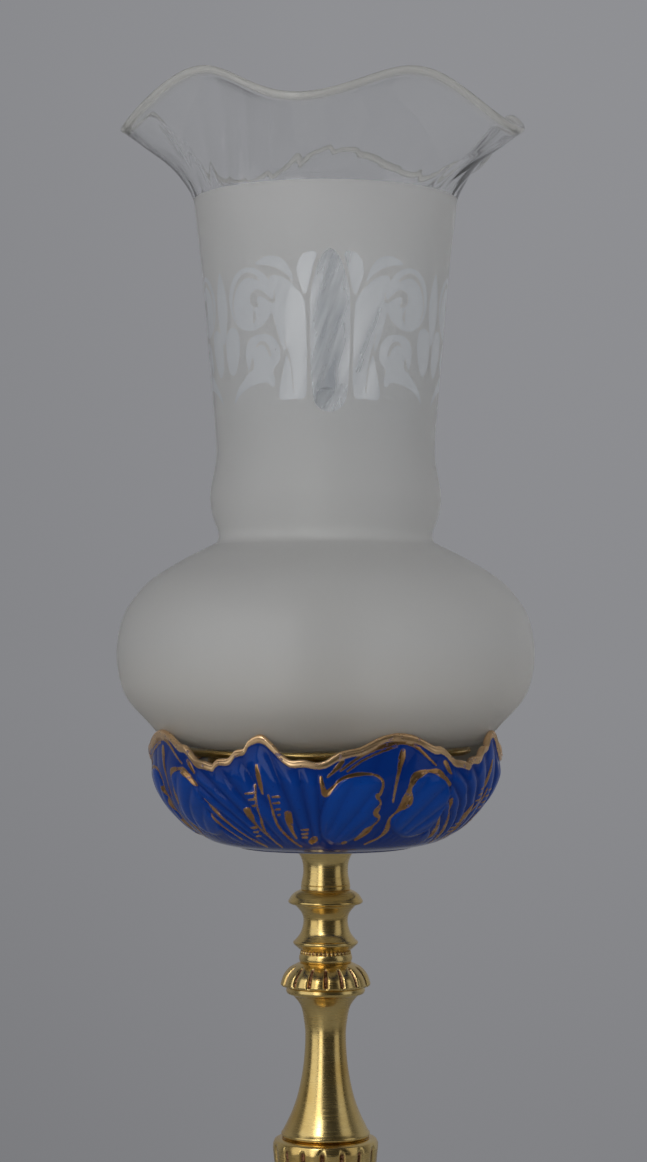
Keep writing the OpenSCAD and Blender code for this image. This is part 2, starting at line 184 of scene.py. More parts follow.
def brush(x, y, marks, steps=5):
    # a brush stroke through marks of (x, y, half width): the best of half width minus distance
    path = smoothCurve(marks, steps)
    best = np.full(np.shape(x), -1e3)
    for p, q in zip(path[:-1], path[1:]):
        d = q[:2] - p[:2]
        size = float(d @ d)
        if size < 1e-12:
            continue
        t = np.clip(((x - p[0]) * d[0] + (y - p[1]) * d[1]) / size, 0, 1)
        width = p[2] + (q[2] - p[2]) * t
        best = np.maximum(best, width - np.hypot(x - p[0] - t * d[0], y - p[1] - t * d[1]))
    return best


def leafPatch(x, y, corners, steps=4):
    # inside a closed smooth curve: the distance to its sides, signed by how often they are crossed
    path = smoothCurve(corners, steps, closed=True)
    best = np.full(np.shape(x), 1e3)
    inside = np.zeros(np.shape(x), bool)
    for p, q in zip(path, np.roll(path, -1, axis=0)):
        d = q - p
        t = np.clip(((x - p[0]) * d[0] + (y - p[1]) * d[1]) / max(float(d @ d), 1e-12), 0, 1)
        best = np.minimum(best, np.hypot(x - p[0] - t * d[0], y - p[1] - t * d[1]))
        if abs(d[1]) > 1e-12:
            crosses = ((p[1] > y) != (q[1] > y)) & (x < p[0] + (y - p[1]) / d[1] * d[0])
            inside ^= crosses
    return np.where(inside, best, -best)


def eased(t):
    t = np.clip(t, 0, 1)
    return t * t * (3 - 2 * t)


# finishes, and the short ways to wire them

def newFinish(name):
    material = bpy.data.materials.new(name)
    material.use_nodes = True
    tree = material.node_tree
    return material, tree, tree.nodes["Principled BSDF"]


def addNode(tree, kind, settings=None, **inputs):
    node = tree.nodes.new("ShaderNode" + kind)
    for key, value in (settings or {}).items():
        setattr(node, key, value)
    for key, value in inputs.items():
        socket = node.inputs[key.replace("_", " ")]
        if isinstance(value, bpy.types.NodeSocket):
            tree.links.new(value, socket)
        else:
            socket.default_value = value
    return node


def grain(tree, scale, detail=3.0, stretch=(1, 1, 1), kind="Noise", slant=0.0):
    # noise on Object coordinates, slanted, then stretched; scale is in grains for each metre
    place = addNode(tree, "TexCoord").outputs["Object"]
    if slant:
        place = addNode(tree, "Mapping", Vector=place, Rotation=(0, math.radians(slant), 0)).outputs[0]
    mapping = addNode(tree, "Mapping", Vector=place, Scale=stretch)
    if kind == "Voronoi":
        return addNode(tree, "TexVoronoi", Vector=mapping.outputs[0], Scale=scale).outputs["Distance"]
    return addNode(tree, "TexNoise", Vector=mapping.outputs[0], Scale=scale, Detail=detail).outputs["Fac"]


def spread(tree, value, low, high, toLow, toHigh):
    return addNode(tree, "MapRange", Value=value, From_Min=low, From_Max=high, To_Min=toLow,
                   To_Max=toHigh).outputs[0]


def between(tree, factor, a, b):
    return addNode(tree, "MapRange", Value=factor, To_Min=a, To_Max=b).outputs[0]


def sums(tree, kind, a, b):
    node = tree.nodes.new("ShaderNodeMath")
    node.operation = kind
    for socket, value in zip(node.inputs, (a, b)):
        if isinstance(value, bpy.types.NodeSocket):
            tree.links.new(value, socket)
        else:
            socket.default_value = value
    return node.outputs[0]


def blendColours(tree, factor, a, b):
    node = tree.nodes.new("ShaderNodeMix")
    node.data_type = "RGBA"
    for index, value in ((0, factor), (6, a), (7, b)):
        if isinstance(value, bpy.types.NodeSocket):
            tree.links.new(value, node.inputs[index])
        elif index:
            node.inputs[index].default_value = (*value, 1)
        else:
            node.inputs[index].default_value = value
    return node.outputs[2]


def carried(tree, name):
    return addNode(tree, "Attribute", {"attribute_name": name}).outputs["Fac"]


def bumped(tree, shader, height, strength, distance):
    node = addNode(tree, "Bump", Strength=strength, Distance=distance, Height=height)
    tree.links.new(node.outputs[0], shader.inputs["Normal"])


def feed(tree, shader, socket, value):
    tree.links.new(value, shader.inputs[socket])


brassLook = {
    "pale": (0.84, 0.64, 0.27),
    "deep": (0.71, 0.47, 0.14),
    "soot": (0.07, 0.022, 0.010),
    "copper": (0.50, 0.25, 0.15),
    "polish": 0.18,
    "dull": 0.32,
    "turningLines": 9000,        # lines for each metre of height
    "lineDepth": 0.05,
}


def brassFinish():
    look = brassLook
    material, tree, shader = newFinish("polishedBrass")
    clouds = grain(tree, 55, 4)
    lines = grain(tree, look["turningLines"], 2, stretch=(0.02, 0.02, 1))
    streaks = grain(tree, 2600, 4, stretch=(0.04, 0.04, 1))
    pits = spread(tree, grain(tree, 750, kind="Voronoi"), 0.05, 0.13, 0, 1)
    cavity = carried(tree, "cavity")
    metal = blendColours(tree, spread(tree, clouds, 0.35, 0.7, 0, 1), look["pale"], look["deep"])
    crust = blendColours(tree, spread(tree, grain(tree, 1400, 3), 0.42, 0.6, 0, 1),
                         look["soot"], look["copper"])
    metal = blendColours(tree, spread(tree, cavity, 0.25, 0.7, 0, 0.95), metal, crust)
    feed(tree, shader, "Base Color", metal)
    rough = spread(tree, streaks, 0.3, 0.75, look["polish"], look["dull"])
    rough = sums(tree, "ADD", rough, sums(tree, "MULTIPLY", cavity, 0.25))
    feed(tree, shader, "Roughness", rough)
    shader.inputs["Metallic"].default_value = 1
    rubble = sums(tree, "MULTIPLY", sums(tree, "MULTIPLY", grain(tree, 1400, 3), cavity), 3.0)
    height = sums(tree, "ADD", sums(tree, "ADD", sums(tree, "MULTIPLY", lines, 0.5), pits), rubble)
    bumped(tree, shader, height, look["lineDepth"], 0.00012)
    return material


porcelainLook = {
    "cobalt": (0.003, 0.025, 0.195),
    "thinGlaze": (0.007, 0.078, 0.43),
    "gilt": (1.0, 0.68, 0.38),
    "darkGilt": (0.45, 0.24, 0.09),
    "inside": (0.70, 0.68, 0.62),
    "specks": (0.004, 0.012, 0.10),
    "edgeSoftness": 0.12,
}


def porcelainFinish():
    look = porcelainLook
    material, tree, shader = newFinish("cobaltAndGilt")
    wobble = sums(tree, "MULTIPLY", sums(tree, "SUBTRACT", grain(tree, 700, 3), 0.5), 0.5)
    soft = look["edgeSoftness"]
    gilt = spread(tree, sums(tree, "ADD", carried(tree, "gilt"), wobble), -soft, soft, 0, 1)
    wear = spread(tree, grain(tree, 420, 5), 0.60, 0.70, 1, 0.25)
    gilt = sums(tree, "MULTIPLY", gilt, wear)
    # lighter glaze on the relief and darker in the valleys: glaze running thin on the ridges, and painted
    # shade in the valleys
    glaze = blendColours(tree, carried(tree, "thinGlazeAndShade"), look["cobalt"], look["thinGlaze"])
    specks = spread(tree, grain(tree, 1500, 2), 0.66, 0.72, 0, 0.5)
    glaze = blendColours(tree, specks, glaze, look["specks"])
    glaze = blendColours(tree, carried(tree, "white"), glaze, look["inside"])
    tarnish = spread(tree, sums(tree, "ADD", grain(tree, 160, 4), carried(tree, "tarnish")), 0.4, 1.2, 0, 1)
    gold = blendColours(tree, tarnish, look["gilt"], look["darkGilt"])
    feed(tree, shader, "Base Color", blendColours(tree, gilt, glaze, gold))
    feed(tree, shader, "Metallic", gilt)
    feed(tree, shader, "Roughness", spread(tree, gilt, 0, 1, 0.10, 0.28))
    shader.inputs["Specular IOR Level"].default_value = 0.35
    shader.inputs["IOR"].default_value = 1.33
    height = sums(tree, "ADD", sums(tree, "MULTIPLY", grain(tree, 260, 3), 0.5),
                  sums(tree, "MULTIPLY", gilt, 0.35))
    bumped(tree, shader, height, 0.35, 0.0002)
    return material


shadeLook = {
    "tint": (0.965, 0.958, 0.935),
    "paintedWarmGlow": (0.97, 0.925, 0.84),     # painted warm glow low on the globe, light thrown up by the brass and the bowl
    # the tint of the clear leaves, which colours their painted highlight bands bluish
    "motifTint": (0.955, 0.978, 1.0),
    "clearTint": (0.992, 0.996, 0.996),
    "beadTint": (0.97, 0.965, 0.92),
    "speck": (0.10, 0.05, 0.02),
    "frost": 0.56,               # roughness of the frosted surface
    "clear": 0.02,
    "neck": 0.58,                # share of the frosted surface that lets light through
    "globe": 0.42,
    "base": 0.80,                # the underside, inside the bowl's lip: more light let through here paints its shade lighter
    "mouth": 0.96,               # the same share, of the clear mouth
    # the rolled bead lets less light through and shows pale: a painted highlight along the rim
    "bead": 0.72,
    "strokes": 2.6,              # strength of the painted slanting streaks of light in the polished leaves
    "edgeSoftness": 0.10,
}


def shadeFinish():
    look = shadeLook
    material, tree, shader = newFinish("frostedGlass")
    height = addNode(tree, "SeparateXYZ", Vector=addNode(tree, "TexCoord").outputs["Object"]).outputs["Z"]
    mouth = spread(tree, height, 0.474, 0.486, 0, 1)
    wobble = sums(tree, "MULTIPLY", sums(tree, "SUBTRACT", grain(tree, 500, 3), 0.5), 0.35)
    soft = look["edgeSoftness"]
    clear = spread(tree, sums(tree, "ADD", carried(tree, "clear"), wobble), -soft, soft, 0, 1)
    # polished leaves: painted bands of highlight (milky glass) and of dark reflection (clear glass), broken
    # up by painted slanting streaks of light
    strokes = sums(tree, "SUBTRACT", grain(tree, 280, 2, stretch=(1, 0.4, 0.10), slant=-20), 0.5)
    strokes = sums(tree, "MULTIPLY", strokes,
                   sums(tree, "MULTIPLY", carried(tree, "paintedStreakZone"), look["strokes"]))
    paintedLeafBands = sums(tree, "ADD", carried(tree, "paintedLeafBands"), strokes)
    polished = between(tree, mouth, spread(tree, paintedLeafBands, -1, 1, 0.84, 0.02), look["mouth"])
    polishedRough = between(tree, mouth, spread(tree, paintedLeafBands, -0.6, 0.4, 0.09, 0.5), look["clear"])
    frostRough = spread(tree, grain(tree, 3500, 2), 0.3, 0.7, look["frost"] - 0.05, look["frost"] + 0.05)
    feed(tree, shader, "Roughness", between(tree, clear, frostRough, polishedRough))
    body = spread(tree, height, 0.345, 0.40, look["globe"], look["neck"])
    # more light let through low on the globe, which paints the shaded underside lighter
    body = between(tree, spread(tree, height, 0.283, 0.296, 0, 1), look["base"], body)
    # the rolled bead is milky, a painted highlight along the rim
    rolled = carried(tree, "rolled")
    through = between(tree, rolled, between(tree, clear, body, polished), look["bead"])
    feed(tree, shader, "Transmission Weight", through)
    # painted warm glow low on the globe, from the brass and the bowl below
    frosted = blendColours(tree, spread(tree, height, 0.282, 0.32, 0, 1), look["paintedWarmGlow"], look["tint"])
    glass = blendColours(tree, clear, frosted,
                         blendColours(tree, mouth, look["motifTint"], look["clearTint"]))
    glass = blendColours(tree, rolled, glass, look["beadTint"])
    speck = spread(tree, carried(tree, "speck"), -0.1, 0.1, 0, 1)
    feed(tree, shader, "Base Color", blendColours(tree, speck, glass, look["speck"]))
    shader.inputs["IOR"].default_value = 1.34
    frostBump = sums(tree, "MULTIPLY", grain(tree, 2600, 3), sums(tree, "SUBTRACT", 1, clear))
    bumped(tree, shader, frostBump, 0.10, 0.0001)
    return material


def clearGlassFinish():
    material, tree, shader = newFinish("clearGlass")
    shader.inputs["Base Color"].default_value = (0.985, 0.99, 0.985, 1)
    shader.inputs["Transmission Weight"].default_value = 1
    shader.inputs["IOR"].default_value = 1.46
    feed(tree, shader, "Roughness", spread(tree, grain(tree, 120, 2), 0.3, 0.7, 0.01, 0.03))
    bumped(tree, shader, grain(tree, 90, 2), 0.05, 0.0003)
    return material


def plainFinish(name, pale, deep, rough, metallic=0.0, scale=400, stretch=(1, 1, 1), bump=0.15,
                depth=0.0001, kind="Noise"):
    # two shades of one colour, mottled by a grain that also moves the gloss and the surface
    material, tree, shader = newFinish(name)
    mottle = grain(tree, scale, 4, stretch=stretch, kind=kind)
    broad = grain(tree, scale * 0.12, 2)
    both = sums(tree, "ADD", sums(tree, "MULTIPLY", mottle, 0.6), sums(tree, "MULTIPLY", broad, 0.4))
    feed(tree, shader, "Base Color", blendColours(tree, spread(tree, both, 0.3, 0.7, 0, 1), pale, deep))
    feed(tree, shader, "Roughness", spread(tree, mottle, 0.3, 0.7, rough, rough + 0.12))
    shader.inputs["Metallic"].default_value = metallic
    bumped(tree, shader, mottle, bump, depth)
    return material


finishes = {
    "brass": brassFinish(),
    "cobalt_gilt": porcelainFinish(),
    "frosted_glass": shadeFinish(),
    "clear_glass": clearGlassFinish(),
    "black_plastic": plainFinish("blackPlastic", (0.030, 0.026, 0.024), (0.016, 0.014, 0.013), 0.34,
                                 scale=900),
    "white_ceramic": plainFinish("whiteCeramic", (0.74, 0.70, 0.61), (0.60, 0.56, 0.47), 0.52, scale=1200),
    "nickel": plainFinish("nickelPlate", (0.66, 0.64, 0.60), (0.52, 0.50, 0.46), 0.20, 1.0, scale=700,
                          stretch=(0.1, 0.1, 1)),
    "contact_bronze": plainFinish("contactBronze", (0.70, 0.42, 0.22), (0.50, 0.28, 0.13), 0.28, 1.0,
                                  scale=600),
    "iron": plainFinish("castIron", (0.040, 0.040, 0.043), (0.020, 0.019, 0.018), 0.55, 0.6, scale=260,
                        bump=0.6, depth=0.0005),
    "felt": plainFinish("greenFelt", (0.030, 0.080, 0.042), (0.014, 0.042, 0.022), 0.86, scale=1600,
                        bump=0.8, depth=0.0006),
    "leather": plainFinish("leatherWasher", (0.20, 0.10, 0.045), (0.10, 0.045, 0.02), 0.6, scale=900,
                           bump=0.5, depth=0.0002, kind="Voronoi"),
    "bulb_black": plainFinish("blackVitrite", (0.014, 0.010, 0.018), (0.006, 0.005, 0.009), 0.12,
                              scale=500),
    "tungsten": plainFinish("tungstenWire", (0.20, 0.19, 0.18), (0.12, 0.11, 0.10), 0.4, 1.0, scale=2500),
}
finishes["felt"].node_tree.nodes["Principled BSDF"].inputs["Sheen Weight"].default_value = 0.5
print("finishes made:", len(finishes))


# the glass shade

shade = {
    "wall": 2.2,
    "bead": 1.4,
    "collarBottom": 264.3,
    "ruffles": 5,
    "ruffleTurn": -6.2,          # degrees
    "ruffleDrift": 2.2,
    "driftTurn": -114.0,
    "ruffleHeight": 6.8,
    "ruffleReach": 3.1,
    "mouthLift": 3.2,            # the mouth stands a little higher on one side
    "liftTurn": -42.0,
    "ruffleStart": 489.0,
    "mouthHeight": 518.2,
    "frostTop": 489.6,
    "ribs": 32,
    "ribDepth": 0.10,
    "ribLean": 0.0082,           # radians of turn for each mm of height
    "columns": 448,
}


# one half of a palmette, flat: x in mm from its middle leaf, y the height; clear glass inside
petals = {
    "beside": [(5.0, 463.0), (8.2, 463.5), (10.8, 461.4), (12.1, 457.5), (11.4, 453),
               (9.2, 447.8), (7.6, 452),
               (6.3, 457.5)],
    "crescent": [(28.4, 459.9), (25, 462.0), (21.5, 462.6), (17.6, 461.3), (14.8, 457.8), (13.0, 452.2),
                 (15.4, 455.0), (19.0, 457.6), (23.5, 459.2)],
    "sweep": [(9.7, 446.2), (9.0, 440), (8.8, 425), (9.4, 411), (14, 409.8), (19.5, 409.6), (20.2, 413),
              (18.6, 419), (17.4, 424.5), (16.4, 428), (17.6, 434), (19.2, 442), (21.4, 449), (22.6, 453.4),
              (21.6, 455.4), (17.6, 454.6), (13.4, 451.2)],
    "arch": [(22.4, 420.6), (19.6, 424), (19.5, 429), (22.4, 433), (27, 434), (31.6, 433), (34.6, 429.2),
             (34.8, 424.4), (34, 420.4), (36.8, 417.6), (41, 413.6), (43.4, 408.8), (39.6, 412),
             (34.8, 414.4),
             (30, 415.7), (25.4, 416.1), (22.6, 414.2), (21.8, 417)],
    "side": [(38.5, 435.8), (42, 437.4), (45.4, 435), (46.4, 429), (45.5, 422), (42.5, 419.5), (39.7, 423),
             (37.8, 430)],
}
dividers = [
    [(20.8, 450, 0.2), (21.3, 445.8, 0.6), (24.2, 447.6, 0.8), (27.0, 449.2, 1.2), (29.4, 448.6, 1.5),
     (29.8, 446.2, 1.5), (28.4, 444.8, 0.8)],
    [(26.6, 453.6, 0.3), (29.8, 455.7, 0.9), (33.6, 455.9, 1.0), (37.4, 453.0, 0.7), (39.8, 448.6, 0.5),
     (40.2, 443.8, 0.4), (38.4, 439.6, 0.3)],
    [(30.2, 443.4, 0.3), (29.6, 440.4, 0.7), (30.4, 438.2, 0.3)],
    [(23.4, 426.0, 0.6), (24.8, 429.6, 0.8), (27.4, 430.8, 0.7), (29.6, 429.4, 0.3)],
    [(31.6, 425.6, 0.3), (32.0, 422.2, 0.9), (33.6, 420.6, 0.4)],
    [(16.4, 428, 0.5), (15.0, 421, 0.35), (14.2, 412, 0.3)],
]


def palmetteTurn(turn):
    # there are three round the neck; this is the turn from the nearest one's middle leaf
    third = 2 * math.pi / 3
    return (turn - math.radians(2.1) + third / 2) % third - third / 2


def etchedBand(turn, z):
    # each palmette is mirrored about its middle leaf
    a = np.abs(palmetteTurn(turn)) * 45.4
    clear = [
        brush(a, z, [(0, 464.2, 0.4), (0, 460, 3.6), (0, 452, 6.2), (0, 445.6, 7.3), (0, 431, 7.4),
                     (0, 418, 7.2), (0, 411.5, 6.6)]),
        disc(a, z, (31.8, 447.2), 10.6, 11.7),
        brush(a, z, [(22.2, 449.6, 1.3), (21.0, 443.6, 1.3), (19.4, 436.0, 1.1), (17.5, 428, 0.5)]),
        lens(a, z, (47.5, 459), (47.5, 431), 3.4, 3.4),
    ] + [leafPatch(a, z, petal) for petal in petals.values()]
    frosted = [brush(a, z, marks) for marks in dividers]
    return np.minimum(np.maximum.reduce(clear), -np.maximum.reduce(frosted))


def paintedLeafLight(turn, z):
    # painted light down the tall leaves: above 0 milky glass for painted highlight bands, below 0 clear
    # glass for a painted dark reflection band and a see-through spot low down; hills exp(-(x / width)^2)
    # across
    x = palmetteTurn(turn) * 45.4 - 0.10 * (z - 436)
    paintedBright = np.exp(-((x + 12.0) / 4.4) ** 2) + 0.75 * np.exp(-((x - 9.0) / 3.2) ** 2)
    dark = np.exp(-((x + 1.0) / 5.6) ** 2)
    low = np.exp(-((x - 4.0) / 5) ** 2 - ((z - 413) / 5) ** 2)
    paintedStreakZone = eased((27 - np.abs(x)) / 9)
    return 0.17 + 0.66 * paintedBright - 0.86 * dark - 0.8 * low, paintedStreakZone


def shadeSection():
    # outside from the collar up, the rolled bead, inside back down
    s = shade
    collar = np.array([[43, s["collarBottom"]], [43, 270], [43, 279.2]])
    globe = smoothCurve([[43.4, 280.4], [47, 281.0], [52, 280.3], [58, 280.6], [63, 283.3], [67, 288.1],
                         [75.4, 297.4], [78.8, 305.4], [80.07, 316.5], [78, 328.3], [73.9, 336],
                         [66.6, 343.8], [54, 351.7], [44.6, 356.4]], 8)
    neck = smoothCurve([[41.6, 358.0], [40.9, 360.4], [41.3, 363.0], [42.0, 364.4],
                        [43.6, 369.5], [44.35, 376],
                        [43.4, 382], [42.3, 388], [41.9, 394.5], [43.1, 411], [45.1, 434],
                        [46.5, 451.5], [48, 467], [50.6, 489.2]], 10)
    mouth = smoothCurve([[50.6, 489.2], [53.0, 494.4], [60, 504.5], [69.6, 513.6], [75.6, 518.2]], 10)[1:]
    low = resampled(np.vstack([collar, globe, neck[:1]]), 58)
    band = neck[neck[:, 1] < 404.5]
    ornament = neck[(neck[:, 1] >= 404.5) & (neck[:, 1] <= 466.5)]
    top = neck[neck[:, 1] > 466.5]
    outer = np.vstack([
        low,
        resampled(band, 28)[1:],
        resampled(np.vstack([band[-1:], ornament, top[:1]]), 74)[1:],
        resampled(top, 12)[1:],
        resampled(np.vstack([top[-1:], mouth]), 24)[1:]])
    inner = besideCurve(outer, s["wall"])[::-1]
    inner = np.vstack([resampled(inner[:36], 16), resampled(inner[35:], 46)[1:]])
    inner[-1] = [43 - s["wall"], s["collarBottom"]]
    tip = (outer[-1] + inner[0]) / 2
    swing = np.radians(np.linspace(-80, 200, 9))
    bead = tip + s["bead"] * np.column_stack([np.cos(swing), np.sin(swing)])
    return outer[:-1], bead, inner[1:]


def glassShade():
    # radius and height of the section, bent by the ruffles; ribs swirl up the inside
    s = shade
    outer, bead, inner = shadeSection()
    section = np.vstack([outer, bead, inner])
    r = np.repeat(section[:, :1], s["columns"], axis=1)
    z = np.repeat(section[:, 1:], s["columns"], axis=1)
    straight = turnsOf(s["columns"])[None, :]
    turn = straight + s["ribLean"] * (z - 400)               # the grid leans with the ribs
    clear = np.full(r.shape, 5.0)
    onOuter = slice(0, len(outer))
    clear[onOuter] = np.maximum(etchedBand(turn[onOuter], z[onOuter]), z[onOuter] - s["frostTop"])
    drift = math.radians(s["ruffleDrift"]) * np.cos(turn - math.radians(s["driftTurn"]))
    droop = np.cos(s["ruffles"] * (turn - math.radians(s["ruffleTurn"]) - drift))
    bend = eased((z - s["ruffleStart"]) / (s["mouthHeight"] - s["ruffleStart"])) ** 1.2
    onInner = np.zeros(r.shape)
    onInner[len(outer) + len(bead):] = 1
    wave = (straight * s["ribs"] / (2 * math.pi) + 0.5) % 1 - 0.5
    ridge = np.exp(-(wave / 0.17) ** 2) + 0.25 * np.cos(2 * math.pi * wave)
    fade = eased((z - 366) / 30) * (0.35 + 0.65 * eased((z - 466) / 24)) * onInner
    r = r - s["ribDepth"] * ridge * fade
    lift = s["mouthLift"] * np.cos(turn - math.radians(s["liftTurn"]))
    lifted = z + bend * (lift - s["ruffleHeight"] * droop + 0.2 * np.sin(11 * turn + 1.3))
    r = r + s["ruffleReach"] * bend * droop
    speck = 0.8 - np.hypot(((turn - math.radians(34) + math.pi) % (2 * math.pi) - math.pi) * 78, z - 318.5)
    speck[len(outer):] = -5
    # painted highlight and dark reflection bands, and the zone that carries the painted streaks
    paintedLeafBands, paintedStreakZone = paintedLeafLight(turn, z)
    paintedLeafBands[len(outer):] = -1                                  # the inside is clear all over
    paintedStreakZone[len(outer):] = 0
    rolled = np.zeros(r.shape)
    rolled[len(outer):len(outer) + len(bead)] = 1
    return gridMesh("glass_shade_blown", r * np.sin(turn), -r * np.cos(turn), lifted,
                    attributes={"clear": clear, "speck": speck, "paintedLeafBands": paintedLeafBands, "paintedStreakZone": paintedStreakZone,
                                "rolled": rolled})


dress(glassShade(), finishes["frosted_glass"], "shade", "frosted_glass", "glass_shade")
print("glass shade blown")


# the leaf bowl

bowl = {
    "foot": 241.3,
    "liftFrom": 258.0,           # the leaves begin to part above this height
    "liftTo": 287.5,
    "columns": 640,
    "giltEdge": 2.8,
    "fluteDepth": 1.3,
}

# the lip of one quarter, as (turn in degrees, height): a narrow stepped leaf, then a broad one
bowlLip = [(-37.8, 275.4), (-35.9, 277.6), (-31.7, 278.2), (-29.3, 281.0), (-26.1, 282.0), (-24.4, 285.0),
           (-20.4, 286.8), (-17.0, 283.8), (-13.9, 280.0), (-10.8, 277.8), (-6.9, 277.9), (-3.1, 277.0),
           (0.0, 277.7), (3.8, 280.4), (6.9, 281.4), (10.8, 282.4), (16.2, 285.4), (20.2, 286.8),
           (24.4, 287.2), (29.5, 286.0), (35.8, 282.6), (39.2, 282.0), (42.2, 279.4), (44.9, 277.2),
           (48.6, 276.6)]


def lipHeight(turn):
    # the lip's curve, repeated every quarter turn
    marks = np.array(bowlLip)
    curve = smoothCurve(np.vstack([marks, [marks[0] + [90, 0]]]), 8)
    return np.interp((np.degrees(turn) + 37.8) % 90 - 37.8, curve[:, 0], curve[:, 1])


def ladder(x, y, rungs):
    # short gilt dashes, each (x, y, half length)
    return [brush(x, y, [(cx - half, cy - 0.1, 0.34), (cx + half, cy + 0.1, 0.48)], 1)
            for cx, cy, half in rungs]


leafNear = [(0.2, 265.0), (2.7, 268.0), (5.4, 270.7), (10, 272.3), (15.4, 272.7), (19.6, 271.4),
            (21, 268.6),
            (19.6, 264.9), (20.3, 261.6), (18.2, 258.3), (19.6, 255.8), (16.6, 252.4), (11, 248),
            (4, 245.4), (-1.5, 249), (-2.4, 257)]
leafFar = [(23.4, 255.6), (26.9, 259.2), (30, 263.4), (30.6, 268), (32.8, 271.6), (36.4, 272.9),
           (39, 272.7), (41.6, 273.0), (44.4, 270.6), (46.2, 267), (47.0, 258), (40, 250.5),
           (30, 247.6), (24.4, 251)]


def giltStrokes(x, y):
    # the painter's strokes on one quarter, drawn flat: x across the quarter, y height
    marks = [
        [(-24.9, 275.7, 0.5), (-24.5, 272.5, 0.9), (-23.7, 268.5, 0.85), (-23.1, 265.3, 0.4)],
        [(-25.8, 268.5, 0.38), (-24.9, 261.2, 0.38), (-22.6, 252.2, 0.38), (-18.1, 245.9, 0.38)],
        [(-20.8, 264.9, 0.38), (-18.1, 254.9, 0.42), (-13.6, 248.6, 0.4), (-9, 244.9, 0.38)],
        [(-28.6, 258.9, 1.2), (-27.4, 256.6, 1.3), (-25.4, 253.4, 0.6), (-22.4, 250.2, 0.4),
         (-16.3, 244.5, 0.38)],
        [(-13.7, 258.0, 1.2), (-13.2, 255.4, 1.35), (-12.4, 252.0, 0.7), (-10.6, 248.4, 0.38)],
        [(5.4, 273.9, 0.38), (12.7, 279.0, 0.5), (19.9, 282.2, 0.65), (28.1, 284.0, 0.85),
         (33.5, 281.9, 0.65), (38, 277.8, 0.45), (40.7, 275.2, 0.38)],
        [(7.8, 273.6, 0.36), (13.6, 277.6, 0.36), (20.4, 280.6, 0.36), (26, 282.4, 0.4)],
        [(28.2, 280.6, 1.0), (27.8, 278.2, 1.25), (27, 274.4, 0.8), (25.8, 268.5, 0.5),
         (24.6, 262.1, 0.36)],
        [(6.0, 277.2, 0.8), (4.4, 275.2, 0.9), (2.2, 273, 0.5), (0.5, 271.6, 0.36)],
        [(44.2, 276.2, 0.8), (45, 274.6, 0.85), (46.4, 272, 0.4)],
        [(-1.8, 271.6, 0.6), (-1.2, 268.4, 0.8), (0, 265.5, 1.2), (2.7, 268, 0.5), (5.4, 270.7, 0.55),
         (10, 272.3, 0.75), (15.4, 272.7, 0.5), (19.6, 271.4, 0.5), (21, 268.6, 0.5), (19.8, 264.9, 0.5)],
        [(19.8, 264.9, 0.5), (18.6, 264.5, 0.9), (20.2, 261.6, 0.4), (18.2, 258.3, 1.15),
         (19.7, 256.0, 0.4),
         (17.2, 253.1, 0.4), (14.9, 251.2, 1.3), (10.9, 247.7, 0.45)],
        [(14.5, 245.8, 0.38), (19.9, 248.6, 0.4), (22.6, 251.7, 0.95), (23.5, 255.8, 0.38),
         (26.7, 259, 0.5), (29.6, 262.2, 1.9), (30.7, 267, 0.6), (32.6, 271.2, 1.3), (35.3, 272.6, 1.1),
         (38.5, 273.2, 0.5), (41.2, 272.6, 1.3), (43.9, 270.3, 1.0), (45.7, 268, 0.9)],
        [(-44.5, 262.4, 0.38), (-38.6, 256.2, 0.38), (-30.0, 249.2, 0.38), (-22, 244.4, 0.38)],
        [(-46.2, 260.2, 0.38), (-39.8, 253.8, 0.38), (-31.4, 247.2, 0.38)],
        [(-5.2, 247.2, 1.1), (-4.0, 248.2, 1.2)],
        [(6.2, 246.6, 0.6), (7.2, 246.8, 0.7)],
    ]
    strokes = [brush(x, y, stroke, 4) for stroke in marks]
    strokes += ladder(x, y, [(-27.9, 265.3, 1.2), (-27.0, 263.0, 1.0), (-26.3, 260.7, 0.7),
                             (-18.1, 264.3, 1.2),
                             (-17.8, 262.0, 1.0), (-17.4, 259.6, 0.7), (-17.1, 257.5, 0.4)])
    strokes += ladder(x, y, [(-26.6, 252.2, 0.9), (-25.7, 250.5, 0.8), (-24.6, 248.9, 0.7),
                             (-7.7, 251.9, 1.2),
                             (-7.7, 250.3, 1.0), (-7.6, 248.8, 0.8)])
    return np.maximum.reduce(strokes)


